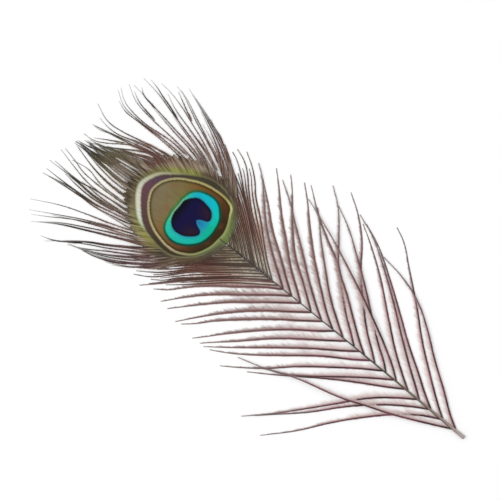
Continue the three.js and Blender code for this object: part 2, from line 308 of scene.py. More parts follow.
def grow(name, strands, spacing, reaches, spread, hair, droop, gap, tip, seed):
    """Grows ribs with barbules along strands, each a list of (x, y, z, rib width) in millimetres."""
    line = bpy.data.curves.new(name, "CURVE")
    line.dimensions = "3D"
    line.resolution_u = 8
    for strand in strands:
        spline = line.splines.new("BEZIER")
        spline.bezier_points.add(len(strand) - 1)
        for point, (x, y, z, width) in zip(spline.bezier_points, strand):
            point.co = at(x, y, z)
            point.radius = width / 2000
            point.handle_left_type = point.handle_right_type = "AUTO"
    holder = bpy.data.objects.new(name, line)
    bpy.context.collection.objects.link(holder)
    grower = holder.modifiers.new("grow", "NODES")
    grower.node_group = plume
    settings = {
        "Spacing": spacing / 1000,
        "Left Reach": reaches[0] / 1000,
        "Right Reach": reaches[1] / 1000,
        "Spread": math.radians(spread),
        "Hair Width": hair / 2000,
        "Root Gap": gap,
        "Droop": droop,
        "Tip Reach": tip,
        "Seed": seed,
    }
    for socket in plume.interface.items_tree:
        if socket.name in settings:
            grower[socket.identifier] = settings[socket.name]
    bpy.context.view_layer.update()
    ready = holder.evaluated_get(bpy.context.evaluated_depsgraph_get())
    mesh = bpy.data.meshes.new_from_object(ready)
    bpy.data.objects.remove(holder)
    bpy.data.curves.remove(line)
    mesh.name = name
    return mesh


def measured(points):
    """Each point of a line with the share of the line's length that lies before it."""
    lengths = [0.0]
    for a, b in zip(points, points[1:]):
        lengths.append(lengths[-1] + math.dist(a, b))
    return [(x, y, length / lengths[-1]) for (x, y), length in zip(points, lengths)]


# Each barb: how far up the shaft its root sits, how high it arches over its neighbours, and its line.
RIGHT_BARBS = [
    (6.5, 1, (5, 13.5), (13, 24.5), (24, 40.5), (35, 55), (42.5, 67), (47.5, 80.5), (50.4, 98.5)),
    (16, 0, (5.5, 23), (15.3, 36.5), (26.8, 51.3), (40, 66), (55, 84), (64, 95), (67.9, 103)),
    (24.5, 0, (5, 31.5), (13, 43.8), (21.3, 57), (32, 72), (45, 91), (53.5, 105), (58.6, 117.5)),
    (32.8, 1, (5, 38.5), (12.5, 49.5), (22, 62.5), (33.5, 77.5), (46.5, 96), (55, 110),
     (60.4, 123.7)),
    (41, 0, (5, 47.5), (13.5, 60), (25, 74.3), (40, 92.3), (50.5, 107.3), (57.4, 119)),
    (49.5, 2, (5, 54.8), (12, 66.5), (17.5, 77), (28.2, 99.3), (38, 121.5), (41.4, 130),
     (48.9, 151.5)),
    (57, 1, (4.5, 61), (10.5, 70), (19.5, 81.7), (30, 95), (41, 110), (50.5, 124), (56.5, 135.8)),
    (65, 0, (4.3, 69), (12.5, 79.9), (23, 91), (37, 104), (50, 113.8), (60, 124.8), (66.8, 135.3)),
    (72.5, 1, (4, 77.5), (11, 87.5), (20.5, 100.5), (30.5, 114.7), (42, 124), (56, 136),
     (63.3, 145.5)),
    (80, 0, (5, 85), (12, 94.5), (21.5, 105.3), (30.5, 115), (38, 128.5), (44.7, 140),
     (55.8, 155.3)),
    (88, 1, (5, 94.3), (14, 107.5), (25, 120), (35.5, 131.5), (44, 139.8), (48.5, 144.5)),
    (95.5, 0, (5.2, 102.4), (13.6, 113.6), (25.6, 128.4), (38.4, 142), (48, 151.5), (54.7, 159)),
    (103.5, 1, (5, 110), (14, 123), (25, 137), (35, 150.5), (41.5, 159), (48, 169.5)),
    (111, 0, (4, 115), (11.5, 125.5), (19, 136.5), (29.5, 147), (40, 155.7), (49, 163.5),
     (53.2, 167.8)),
    (118.5, 0, (4.4, 123), (12.8, 135), (22.5, 146), (33.3, 158.3), (43.2, 168), (51, 176.3)),
    (125, 0, (5, 131), (14, 143.5), (23.5, 157), (32, 166.5), (41.6, 178.4)),
    (131, 1, (5, 137), (14, 150), (24, 162), (34, 171.5), (43, 180.5), (47, 186)),
]
LEFT_BARBS = [
    (8.5, 2, (-5.5, 19), (-10.5, 29.5), (-16, 42), (-20.5, 54), (-25.5, 66.5), (-33.6, 95),
     (-39.8, 110.5), (-42.4, 118.3), (-44.7, 126.3)),
    (17, 0, (-5, 26), (-13, 36.7), (-25, 49.3), (-40, 62.6), (-56, 75), (-70.7, 89)),
    (25.5, 0, (-5, 34), (-16, 49), (-28, 62), (-44, 76.6), (-57, 90.6), (-64, 98.2)),
    (34, 1, (-5, 41.5), (-16, 55), (-28, 65.6), (-44, 79.7), (-58, 92.6), (-69, 104)),
    (43, 0, (-5, 51.3), (-13, 65), (-22.5, 80), (-33, 95), (-40, 105), (-47.7, 117)),
    (51, 1, (-5, 59), (-13, 70), (-22, 81.5), (-31, 93.3), (-36.5, 102), (-41, 111.8),
     (-47, 119.7)),
    (59, 0, (-5.5, 68), (-15, 81), (-28, 97.5), (-40, 110.6), (-49, 122.5), (-54.7, 131)),
    (68, 0, (-5, 75.7), (-15, 91), (-28, 107.4), (-40, 122.7), (-47, 133.2), (-51.3, 141)),
    (76, 0, (-5, 83.5), (-15, 97.7), (-28, 114.3), (-40, 129), (-47, 138), (-52.2, 145)),
    (85, 0, (-5, 92.5), (-15, 106.2), (-25, 118.6), (-38, 132.2), (-48, 143.4), (-52, 147.7)),
    (94, 0, (-5, 101), (-15, 114.5), (-28, 129), (-40, 141), (-47, 147.5), (-52.5, 152.8)),
    (102.5, 0, (-5, 110), (-15, 123.5), (-28, 139), (-38, 150), (-45, 156.5), (-50.3, 162.6)),
    (110.5, 0, (-6, 119.3), (-15, 131.2), (-28, 145.5), (-40, 156.5), (-51.2, 166)),
    (118.5, 0, (-4.5, 125.5), (-15, 138.7), (-25, 150.7), (-35, 161), (-48.4, 174)),
    (125, 0, (-4, 131.5), (-15, 145.2), (-25, 157.7), (-35, 168.2), (-47.6, 179.5)),
    (131, 0, (-5, 139.8), (-15, 152.5), (-24, 164.2), (-33, 173.7), (-40, 180.3), (-44.8, 187)),
    (137.5, 0, (-5, 146.7), (-15, 159.6), (-25, 171), (-35, 181), (-42, 188), (-48, 194.3)),
]

# Loose barb: matt keratin, dark along the rib, with burgundy stretches where it catches the light, and
# barbules that fade from brown to a pinkish silver as they thin out.
loose_skin, tree, shader, place = finish("loose barb keratin", 0.6, 0.15)
out = add(tree, "Attribute", attribute_name="out").node.outputs["Fac"]
up_rib = add(tree, "Attribute", attribute_name="along").node.outputs["Fac"]
spot = add(tree, "SeparateXYZ", [place]).node.outputs
patches = mottle(tree, place, (0.09, 0.09, 0.09))
flecks = mottle(tree, place, (1.1, 1.1, 1.1))
colour = add(tree, "ValToRGB", [patches], stops=[
    (0.34, "302424"), (0.48, "44302E"), (0.57, "5A323C"), (0.68, "6E3C48"),
])
thinning = add(tree, "Math", [flecks, 0.8, out], operation="MULTIPLY_ADD")
thinning = add(tree, "MapRange", [thinning, 0.4, 5.4])
barbule_colour = add(tree, "ValToRGB", [thinning], stops=[
    (0.0, "50323A"), (0.09, "86585F"), (0.2, "B69496"), (0.36, "D8C4C0"), (1.0, "EEE0DC"),
])
sideways = add(tree, "Math", [spot["X"]], operation="ABSOLUTE")
sideways = add(tree, "MapRange", [sideways, 4.0, 22.0, 0.32, 0.8])
for stretch, over in (
    ([out, 0.0, 0.5], barbule_colour),
    ([spot["Y"], 85.0, 135.0, 0.0, sideways], "7E5E58"),
    ([up_rib, 0.6, 1.0, 0.0, 0.6], "8E8483"),
):
    colour = add(tree, "Mix", [add(tree, "MapRange", stretch), colour, over], data_type="RGBA")
tree.links.new(colour, shader.inputs["Base Color"])
shader.inputs["Sheen Weight"].default_value = 0.1

for side, label, barbs in ((1, "right", RIGHT_BARBS), (-1, "left", LEFT_BARBS)):
    for number, (station, layer, *points) in enumerate(barbs, 1):
        root = (centre_of_shaft(station) + side * half_width_of_shaft(station) * 0.7, station)
        strand = []
        for x, y, s in measured([root, *points]):
            droop = 0.85 + (0.17 - 0.85) * s + layer * math.sin(math.pi * 0.85 * s)
            strand.append((x, y, droop, 0.98 - 0.68 * s))
        long, short = 5.2 + 1.6 * station / 137, 1.3 + 0.7 * station / 137
        reaches = (long, short) if side > 0 else (short, long)
        mesh = grow(
            f"{label} barb {number}", [strand], spacing=0.36, reaches=reaches, spread=42, hair=0.3,
            droop=0.35, gap=0.012, tip=0.0, seed=number,
        )
        node = f"{label}_barb_{number:02d}"
        piece(f"{label}_barbules_{number:02d}", mesh, loose_skin, "loose_barb", node)

# ---- eye ----
# The ocellus: the densest barbs, locked edge to edge into one satin sheet with a low dome. Its rings of
# colour are in the keratin itself, and each ring runs unbroken from barb to barb.

EYE_HEART = (-0.7, 197)
FAN_FOOT = 165  # how far up the shaft the eye's barbs all seem to spring from
EYE_OUTLINE = [
    (27.6, 198.5), (27, 207.5), (24.8, 215.8), (20.8, 224), (13.6, 231), (5, 234.4), (-3.8, 235.4),
    (-12.6, 233), (-20.2, 227), (-26, 218.2), (-28.8, 207.8), (-29, 198), (-27.4, 189),
    (-22.4, 181.3), (-15.5, 176), (-8, 173), (0.4, 171.5), (8.5, 173), (16.5, 176.2), (22.6, 181.6),
    (25.6, 189.5),
]


def turns(contour):
    """A closed line as turns about the eye's heart, each with its distance from it."""
    pairs = []
    for x, y in contour:
        turn = math.atan2(y - EYE_HEART[1], x - EYE_HEART[0]) / math.tau
        pairs.append((turn % 1, math.dist((x, y), EYE_HEART)))
    return sorted(pairs)


def distance_at(pairs, turn):
    """The smooth distance of a closed line from the eye's heart at one turn."""
    after = next((i for i, pair in enumerate(pairs) if pair[0] > turn), len(pairs))
    near = []
    for i in range(after - 2, after + 2):
        laps, index = divmod(i, len(pairs))
        near.append((pairs[index][0] + laps, pairs[index][1]))
    (t0, r0), (t1, r1), (t2, r2), (t3, r3) = near
    gap = t2 - t1
    s = (turn - t1) / gap
    slope_in = (r2 - r0) / (t2 - t0) * gap
    slope_out = (r3 - r1) / (t3 - t1) * gap
    start = (2 * s**3 - 3 * s**2 + 1) * r1 + (s**3 - 2 * s**2 + s) * slope_in
    return start + (3 * s**2 - 2 * s**3) * r2 + (s**3 - s**2) * slope_out


def sheet_height(x, y, out):
    """The top of the eye's sheet; out is 0 at its heart and 1 at its rim."""
    bearing = math.degrees(math.atan2(x, y - FAN_FOOT))
    depth = 0.045 * min(max((math.hypot(x, y - FAN_FOOT) - 14) / 12, 0), 1)
    over_shaft = 0.2 * math.exp(-(((x - 0.3) / 0.5) ** 2)) * min(max((178 - y) / 4, 0), 1)
    return 1.16 + 0.8 * (1 - out**2) + depth * math.sin(math.tau * bearing / 3.2) + over_shaft


# A grid is rolled up round the heart: its first rings go out over the top and the others come back below.
rim = turns(EYE_OUTLINE)
TOP_RINGS, LOW_RINGS, LOW_RIM = 54, 18, 0.985
RINGS = TOP_RINGS + LOW_RINGS
form = bmesh.new()
bmesh.ops.create_grid(form, x_segments=420, y_segments=RINGS, size=0.5)
for corner in form.verts:
    turn = corner.co.x + 0.5
    way = round((corner.co.y + 0.5) * RINGS)
    above = way <= TOP_RINGS
    out = way / TOP_RINGS if above else LOW_RIM * (RINGS - way) / LOW_RINGS + LOW_RIM / LOW_RINGS
    out = 0.0 if way == RINGS else min(out, 1.0 if above else LOW_RIM)
    depth = 0.026 if 0.02 < turn < 0.5 else 0.008
    fray = depth * (math.sin(math.tau * turn * 83) + 0.8 * math.sin(math.tau * turn * 47 + 1))
    reach = distance_at(rim, turn % 1) * out * (1 + fray * out**8)
    x = EYE_HEART[0] + reach * math.cos(math.tau * turn)
    y = EYE_HEART[1] + reach * math.sin(math.tau * turn)
    z = sheet_height(x, y, out) if above else 1.0 + 0.75 * (1 - out**2)
    corner.co = at(x, y, z)
bmesh.ops.remove_doubles(form, verts=form.verts, dist=0.000002)
bmesh.ops.recalc_face_normals(form, faces=form.faces)
flat_map = form.loops.layers.uv.new("OFBake")
for face in form.faces:
    for loop in face.loops:
        loop[flat_map].uv = (loop.vert.co.x / 0.062 + 0.5, (loop.vert.co.y - 0.063) / 0.066 + 0.5)
eye_mesh = bpy.data.meshes.new("eye")
form.to_mesh(eye_mesh)
form.free()
eye_mesh.shade_smooth()

# Iridescent keratin: satin, with a blue-black heart in a turquoise ring, then green, bronze, gold, plum
# and a silver crescent, each ring's line measured round the heart and softened along the barbs.
GOLD = [
    (-2.5, 222.7), (3, 222), (7.5, 219.5), (12, 215), (15, 210), (18, 203.5), (19.5, 197),
    (20, 192), (19.7, 187), (18.7, 183.4), (16.9, 181.3), (14.2, 179.9), (10.2, 177.8), (4, 176),
    (-1, 176.3), (-6, 177), (-11, 179), (-15, 181.5), (-19, 186.6), (-21, 192), (-21.3, 197),
    (-20.5, 202), (-19, 207.5), (-17, 211.5), (-13.5, 216), (-9, 219.8), (-5, 222),
]
LOWER_EDGE = [
    (23.4, 198), (23, 190), (21, 184.2), (16.7, 179.9), (11, 177), (4, 175.2), (-1, 175),
    (-6, 175.8), (-11.5, 177.6), (-16, 180.6), (-20.5, 185.5), (-23.7, 191), (-24.6, 198),
    (-23.7, 205),
]
PLUM = [
    (-3.5, 228.3), (3, 226.8), (7, 224.5), (11, 220), (15, 215), (19, 209), (22, 203.5),
    *LOWER_EDGE, (-21.7, 212), (-19, 216.5), (-14, 221.5), (-9, 225.5),
]
CRESCENT = [
    (-3.5, 230.7), (0.5, 229.9), (4.5, 228), (8, 225.6), (11.2, 221.6), (15, 216.2), (19, 209.4),
    (22, 203.8), *LOWER_EDGE, (-22.3, 212), (-20.6, 217.2), (-17.6, 221.4), (-13.6, 225.2),
    (-9.2, 228.6),
]
TURQUOISE = [
    (0, 206.3), (6, 206), (10, 204.8), (13, 202), (15, 197), (15.5, 193), (14.5, 189),
    (11.5, 185.5), (8, 183), (3, 181.7), (-3, 181.7), (-8, 183.3), (-12, 186.5), (-15, 190.5),
    (-16.8, 195), (-16.7, 199), (-15, 203), (-12, 205), (-7, 206),
]
HEART = [
    (0, 205.3), (5, 205), (8, 203), (10.5, 200), (11, 197), (10.7, 194), (10, 190.7), (8.7, 188.6),
    (7, 187.2), (4.8, 186.4), (2, 186.4), (-2.5, 186.4), (-5.4, 186.4), (-7.8, 188), (-9.6, 190),
    (-11.5, 193), (-12.3, 197), (-11.5, 201), (-9, 203.8), (-5, 205.3),
]


CURVE_REACH = 40.0  # millimetres from the heart that the top of a curve's graph stands for


def round_eye(tree, place):
    """The turn about the eye's heart and the distance from it in millimetres."""
    flat = add(tree, "VectorMath", [place, (1, 1, 0)], operation="MULTIPLY")
    arm = add(tree, "VectorMath", [flat, (*EYE_HEART, 0)], operation="SUBTRACT")
    spot = add(tree, "SeparateXYZ", [arm]).node.outputs
    angle = add(tree, "Math", [spot["Y"], spot["X"]], operation="ARCTAN2")
    turn = add(tree, "Math", [angle, math.tau], operation="DIVIDE")
    turn = add(tree, "Math", [turn], operation="FRACT")
    return turn, add(tree, "VectorMath", [arm], operation="LENGTH")


def past(tree, turn, away, contour):
    """How many millimetres a place lies outside a closed line round the eye."""
    pairs = turns(contour)
    profile = add(tree, "FloatCurve", {"Value": turn})
    line = profile.node.mapping.curves[0]
    for i in range(1, 72):
        line.points.new(i / 72, distance_at(pairs, i / 72) / CURVE_REACH)
    line.points[0].location = (0.0, distance_at(pairs, 0.0) / CURVE_REACH)
    line.points[-1].location = (1.0, distance_at(pairs, 0.0) / CURVE_REACH)
    profile.node.mapping.update()
    edge = add(tree, "Math", [profile, CURVE_REACH], operation="MULTIPLY")
    return add(tree, "Math", [away, edge], operation="SUBTRACT")


def outer_band(tree, turn):
    """The colours of the eye's outermost band, turn by turn."""
    return add(tree, "ValToRGB", [turn], stops=[
        (0.0, "56463A"), (0.05, "5A4C3C"), (0.09, "76723F"), (0.16, "7C7C45"), (0.21, "726B48"),
        (0.3, "6A614A"), (0.36, "7C7650"), (0.4, "8C8652"), (0.45, "847C48"), (0.5, "5E5040"),
        (0.6, "5E4C3C"), (0.68, "565040"), (0.74, "606448"), (0.77, "76874F"), (0.82, "6E7C4C"),
        (0.87, "5C5440"), (0.93, "5C4A3C"), (1.0, "56463A"),
    ])


def apron(tree, turn):
    """The browns past the outermost band, where the barbs are about to part."""
    return add(tree, "ValToRGB", [turn], stops=[
        (0.0, "78665A"), (0.06, "8E7C6C"), (0.11, "84705F"), (0.17, "6C5845"), (0.3, "5A4E3C"),
        (0.42, "6A5644"), (0.46, "705048"), (0.5, "70484A"), (0.56, "6A4642"), (0.66, "5E4C40"),
        (1.0, "78665A"),
    ])


def green_share(tree, turn, away):
    """How much of the outermost band still shows: all of it by the crescent, none 5 mm past it."""
    beyond = past(tree, turn, away, CRESCENT)
    wider = add(tree, "MapRange", [turn, 0.35, 0.42, 0.0, 2.6])
    reach = add(tree, "Math", [beyond, wider], operation="SUBTRACT")
    return add(tree, "MapRange", [reach, 4.8, 2.0])


def barb_lanes(tree, spot):
    """Fine random streaks that fan out from under the eye, as its barbs do."""
    low = add(tree, "Math", [spot["Y"], FAN_FOOT], operation="SUBTRACT")
    bearing = add(tree, "Math", [spot["X"], low], operation="ARCTAN2")
    across = add(tree, "Math", [bearing, 60.0], operation="MULTIPLY")
    return mottle(tree, add(tree, "CombineXYZ", [across, low]), (1.0, 0.08, 1.0), 3.0)


eye_skin, tree, shader, place = finish("iridescent keratin", 0.45, 0.06)
turn, away = round_eye(tree, place)
spot = add(tree, "SeparateXYZ", [place]).node.outputs
streaks = barb_lanes(tree, spot)
ragged = add(tree, "Math", [streaks, 0.5], operation="SUBTRACT")
away = add(tree, "Math", [ragged, 0.8, away], operation="MULTIPLY_ADD")

# Outside the rings: the outermost band with its light barbs, then the browns where the barbs part.
shoulder = add(tree, "ValToRGB", [turn], stops=[
    (0.06, "000000"), (0.1, "FFFFFF"), (0.18, "B0B0B0"), (0.24, "303030"), (0.34, "606060"),
    (0.4, "C0C0C0"), (0.45, "303030"), (0.7, "404040"), (1.0, "000000"),
])
light_lanes = add(tree, "MapRange", [streaks, 0.48, 0.68, 0.0, shoulder])
colour = add(tree, "Mix", [light_lanes, outer_band(tree, turn), "A0A058"], data_type="RGBA")
pale_lanes = add(tree, "MapRange", [streaks, 0.5, 0.66, 0.0, 0.6])
browns = add(tree, "Mix", [pale_lanes, apron(tree, turn), "B0A090"], data_type="RGBA")
colour = add(tree, "Mix", [green_share(tree, turn, away), browns, colour], data_type="RGBA")
dark_lanes = add(tree, "MapRange", [streaks, 0.5, 0.38, 0.0, 0.6])
colour = add(tree, "Mix", [dark_lanes, colour, "35301E"], data_type="RGBA")

# The rings, from the outermost in. A band says how many millimetres past its line it starts and is full,
# then its colours turn by turn. The last band inside the gold line is bronze, with two tints over it.
high = add(tree, "MapRange", [spot["Y"], 208.0, 220.0, 0.0, 0.7])
blush = add(tree, "MapRange", [mottle(tree, place, (0.14, 0.14, 0.14)), 0.48, 0.7, 0.0, 0.4])
for contour, bands in (
    (CRESCENT, [
        (0.8, -0.6, [
            (0.12, "86885A"), (0.17, "9A9C74"), (0.22, "B4B292"), (0.255, "BCC0A8"),
            (0.3, "D2CEBA"), (0.36, "CAD4C0"), (0.41, "9A9C6E"),
        ]),
    ]),
    (PLUM, [
        (0.6, -0.6, [
            (0.0, "3E3A2C"), (0.1, "463E32"), (0.16, "483A34"), (0.2, "523E44"), (0.225, "56424E"),
            (0.26, "62444A"), (0.33, "5C4042"), (0.39, "523E38"), (0.45, "403828"),
            (0.52, "3A3424"), (0.6, "443E2A"), (0.7, "4C4C34"), (0.78, "6C7A4C"), (0.86, "4C4632"),
            (0.93, "4C4434"), (1.0, "3E3A2C"),
        ]),
    ]),
    (GOLD, [
        (1.0, 0.35, [
            (0.0, "AC9E68"), (0.1, "A69E68"), (0.2, "A29A72"), (0.28, "A89E7A"), (0.36, "A6A070"),
            (0.44, "AEA476"), (0.52, "AC9C7A"), (0.6, "8A885E"), (0.68, "84905E"), (0.76, "8C985E"),
            (0.84, "90985C"), (0.89, "BCC27A"), (0.93, "A0965E"), (1.0, "AC9E68"),
        ]),
        (-0.35, -0.8, [
            (0.0, "3E300E"), (0.2, "4C4420"), (0.4, "4A3C1E"), (0.6, "2C240E"), (1.0, "3E300E"),
        ]),
        (-0.9, -2.4, [
            (0.0, "70481F"), (0.06, "78562A"), (0.12, "766538"), (0.2, "7A7044"), (0.28, "7B724C"),
            (0.36, "7C6A46"), (0.43, "80643A"), (0.5, "76522A"), (0.57, "583620"), (0.65, "3E2A1A"),
            (0.75, "3A2816"), (0.84, "3C2618"), (0.92, "56361A"), (1.0, "70481F"),
        ], (high, "7A6C58"), (blush, "7C4E30")),
    ]),
    (TURQUOISE, [
        (1.9, 0.7, [
            (0.0, "14503C"), (0.15, "3C6A38"), (0.25, "4A7840"), (0.36, "35683C"), (0.5, "0E4A38"),
            (0.75, "0A3A22"), (1.0, "14503C"),
        ]),
        (0.15, -0.65, [
            (0.0, "06B4C4"), (0.06, "0AAEBE"), (0.12, "30B49C"), (0.17, "6CB88C"), (0.25, "80B088"),
            (0.34, "6CB88C"), (0.39, "34BC9C"), (0.45, "20BCA4"), (0.52, "18B8A8"),
            (0.62, "14B4A4"), (0.72, "0AB094"), (0.78, "08B292"), (0.86, "0CBEB0"),
            (0.93, "04BAC6"), (1.0, "06B4C4"),
        ]),
    ]),
):
    beyond = past(tree, turn, away, contour)
    for starts, full, stops, *tints in bands:
        band = add(tree, "ValToRGB", [turn], stops=stops)
        for share, tint in tints:
            band = add(tree, "Mix", [share, band, tint], data_type="RGBA")
        inside = add(tree, "MapRange", [beyond, starts, full])
        colour = add(tree, "Mix", [inside, colour, band], data_type="RGBA")

# The heart: navy with two plum lobes at its foot and black edges, a blue notch that rises into it from
# below between them, and a blue sheen just outside it.
beyond = past(tree, turn, away, HEART)
up_notch = add(tree, "MapRange", [spot["Y"], 186.0, 193.0])
notch = add(tree, "FloatCurve", {"Value": up_notch})
line = notch.node.mapping.curves[0]
for where, level in (
    (0.07, 0.84), (0.14, 0.62), (0.28, 0.47), (0.43, 0.4), (0.57, 0.34), (0.7, 0.27), (0.8, 0.2),
    (0.88, 0.12), (0.95, 0.0),
):
    line.points.new(where, level)
line.points[0].location = (0.0, 1.0)
line.points[-1].location = (1.0, 0.0)
notch.node.mapping.update()
middle = add(tree, "Math", [spot["X"], 0.1], operation="SUBTRACT")
middle = add(tree, "Math", [middle], operation="ABSOLUTE")
beside_notch = add(tree, "Math", [notch, -6.0, middle], operation="MULTIPLY_ADD")
low = add(tree, "MapRange", [spot["Y"], 185.0, 193.0])
blue = add(tree, "ValToRGB", [low], stops=[
    (0.0, "0AA8AE"), (0.3, "1592B4"), (0.65, "2478A8"), (1.0, "26549C"),
])
notched = add(tree, "MapRange", [spot["Y"], 184.6, 187.0])
notched = add(tree, "MapRange", [beside_notch, 1.0, -1.6, 0.0, notched])
beside = add(tree, "MapRange", [beside_notch, -0.3, 0.4])
above = add(tree, "MapRange", [spot["Y"], 192.4, 193.2])
solid = add(tree, "Math", [beside, above], operation="MAXIMUM")
lobes = add(tree, "MapRange", [middle, 2.0, 6.0])
lobes = add(tree, "MapRange", [spot["Y"], 198.0, 190.0, 0.0, lobes])
heart = add(tree, "Mix", [lobes, "120E3C", "2A1828"], data_type="RGBA")
top_dark = add(tree, "MapRange", [spot["Y"], 200.0, 203.5, 0.0, 0.9])
rim_dark = add(tree, "MapRange", [beyond, -2.0, -0.5, 0.0, 0.9])
dark = add(tree, "Math", [top_dark, rim_dark], operation="MAXIMUM")
heart = add(tree, "Mix", [dark, heart, "04070E"], data_type="RGBA")
sheen = add(tree, "MapRange", [spot["Y"], 204.0, 200.0, 0.0, 0.6])
on_shaft = add(tree, "Math", [spot["X"], 0.3], operation="SUBTRACT")
on_shaft = add(tree, "Math", [on_shaft], operation="ABSOLUTE")
shaft_end = add(tree, "MapRange", [spot["Y"], 177.0, 175.5, 0.0, 0.8])
for stretch, over in (
    ([beyond, 1.5, 0.1, 0.0, sheen], "2E86B4"),
    ([beyond, 1.5, -1.5, 0.0, notched], blue),
    ([beyond, 0.3, -0.5, 0.0, solid], heart),
    ([on_shaft, 0.55, 0.2, 0.0, shaft_end], "3A3424"),
    ([streaks, 0.55, 0.3, 0.0, 0.16], "100C0A"),
):
    colour = add(tree, "Mix", [add(tree, "MapRange", stretch), colour, over], data_type="RGBA")
colour = add(tree, "Mix", [0.08, colour, "000000"], data_type="RGBA")
tree.links.new(colour, shader.inputs["Base Color"])
piece("eye_sheet", eye_mesh, eye_skin, "eye", "eye_vane")

# ---- webs ----
# Beside and below the eye the barbs stand closer and hook together into a closed vane on each side.
# Only their ends come free, where the vane frays into short forks at both flanks.

RIGHT_WEB = [
    ((1.5, 139), (8, 148.5), (16, 157.5), (24, 166.3), (31.5, 175.5), (38, 181.5), (43, 187.5),
     (47.6, 195)),
    ((1.5, 142), (8, 151), (16, 162), (24, 172.5), (32, 181), (38.5, 187.3), (42.5, 192.5),
     (45.5, 200)),
    ((1.5, 145), (8, 154), (16, 165), (24, 175.5), (30, 183), (36, 190), (41, 197.5), (42.5, 201)),
    ((1.5, 148), (7.5, 156.3), (14.3, 164.7), (21, 173), (27.5, 182), (31.5, 188.5), (34, 193),
     (37, 199)),
    ((1.5, 151), (7, 158.8), (13.5, 167), (20, 175.3), (25.5, 183.5), (28.5, 188.5), (33, 196)),
    ((1.5, 152.5), (7, 160.3), (13.3, 168.3), (19.5, 176.5), (25.5, 184), (32, 191.5), (38, 199),
     (43, 207)),
    ((1.5, 154), (7, 161.8), (13, 169.5), (18.5, 177), (24, 184.5), (29, 191.5), (34.5, 199),
     (38.5, 206)),
    ((1.5, 157), (6.5, 164), (12, 171.5), (16, 177.5), (19.5, 182)),
    ((1.5, 160), (6, 166.5), (11, 173.5), (13, 177), (16, 181)),
    ((1.4, 163), (5.5, 169), (9.5, 175), (13, 179)),
    ((1.3, 166), (5, 171), (7.5, 175), (10, 178.5)),
    ((1.2, 169), (4, 173), (5, 175.5), (7, 178)),
]
LEFT_WEB = [
    ((0.0, 134.5), (-7.5, 146), (-16, 157.3), (-25, 167.5), (-33, 176.5), (-38.5, 183)),
    ((0.0, 139.5), (-7, 150), (-16, 161), (-26, 172.3), (-33, 180), (-38.5, 185.5), (-44, 191)),
    ((0.0, 142), (-7, 152), (-16, 162.8), (-26, 174), (-32, 181), (-37.5, 186), (-41.5, 191.5)),
    ((0.0, 145), (-7, 155), (-16, 166.5), (-24, 176.5), (-32.5, 184.5), (-40, 192), (-45.5, 201)),
    ((0.0, 148), (-7, 158), (-16, 169.5), (-24, 179), (-30, 184.5), (-36, 191), (-43, 201)),
    ((0.0, 151), (-7, 161), (-14.5, 171), (-21.5, 179.5), (-27, 185.5), (-33, 192.5), (-39, 200),
     (-45, 207)),
    ((0.0, 152.5), (-7, 162.2), (-14.2, 171.8), (-21, 180.5), (-28, 188), (-34.5, 196),
     (-41, 204.5)),
    ((0.0, 154), (-7, 163.5), (-14, 172.5), (-20, 180.5), (-26.5, 188.5), (-32.5, 197),
     (-38.5, 206)),
    ((0.0, 157), (-6.5, 165.5), (-13, 174), (-18, 180.5), (-22, 185)),
    ((0.0, 160), (-6, 167.5), (-11.5, 174.5), (-14, 178), (-18, 183)),
    ((0.0, 163), (-5.5, 170), (-10, 176), (-14, 181)),
    ((0.0, 166), (-4.5, 171.5), (-7.5, 175.5), (-10.5, 179.5)),
    ((0.0, 169), (-3.5, 173.5), (-5, 175.5), (-7, 178.5)),
]

# Closed vane: satin keratin in red and purple browns, dark along each rib, paler and more olive by the
# shaft, and taking on the eye's outermost colours where it runs under the eye's rim.
web_skin, tree, shader, place = finish("closed vane keratin", 0.55, 0.12)
out = add(tree, "Attribute", attribute_name="out").node.outputs["Fac"]
spot = add(tree, "SeparateXYZ", [place]).node.outputs
patches = mottle(tree, place, (0.16, 0.16, 0.16))
wander = add(tree, "Math", [patches, 14.0, spot["X"]], operation="MULTIPLY_ADD")
across = add(tree, "MapRange", [wander, -43.0, 57.0])
colour = add(tree, "ValToRGB", [across], stops=[
    (0.0, "A88A82"), (0.12, "A27C70"), (0.25, "9A6C5C"), (0.35, "8E6252"), (0.43, "988870"),
    (0.5, "A69E86"), (0.58, "988870"), (0.65, "966E5C"), (0.72, "A88476"), (0.78, "9A7868"),
    (0.86, "A88A80"), (1.0, "A88A82"),
])
from_shaft = add(tree, "Math", [spot["X"]], operation="ABSOLUTE")
lift = add(tree, "Math", [from_shaft, -0.9, spot["Y"]], operation="MULTIPLY_ADD")
paler = add(tree, "MapRange", [from_shaft, 5.0, 14.0])
pale = add(tree, "Mix", [paler, "E2D8CA", "BC9C8E"], data_type="RGBA")
turn, away = round_eye(tree, place)
clear = past(tree, turn, away, EYE_OUTLINE)
for stretch, over in (
    ([lift, 162.0, 142.0, 0.0, 0.85], pale),
    ([out, 0.12, 0.7, 0.9, 0.0], "38231F"),
    ([clear, 0.6, -1.6, 0.0, 0.85], outer_band(tree, turn)),
):
    colour = add(tree, "Mix", [add(tree, "MapRange", stretch), colour, over], data_type="RGBA")
tree.links.new(colour, shader.inputs["Base Color"])


def stretch_of(line, first, last):
    """The stretch of a line between two shares of its length."""
    marks = measured(line)

    def spot(s):
        after = next(i for i, mark in enumerate(marks) if mark[2] >= s - 1e-9)
        a, b = marks[max(after - 1, 0)], marks[after]
        part = (s - a[2]) / (b[2] - a[2]) if after else 0
        return (a[0] + (b[0] - a[0]) * part, a[1] + (b[1] - a[1]) * part)

    between = [(x, y) for x, y, s in marks if first + 0.01 < s < last - 0.01]
    return [spot(first), *between, spot(last)]


def rim_share(x, y):
    """How far out a place lies from the eye's heart, with 1 at the rim, and how far away the rim is."""
    edge = distance_at(rim, math.atan2(y - EYE_HEART[1], x - EYE_HEART[0]) / math.tau % 1)
    return math.dist((x, y), EYE_HEART) / edge, edge


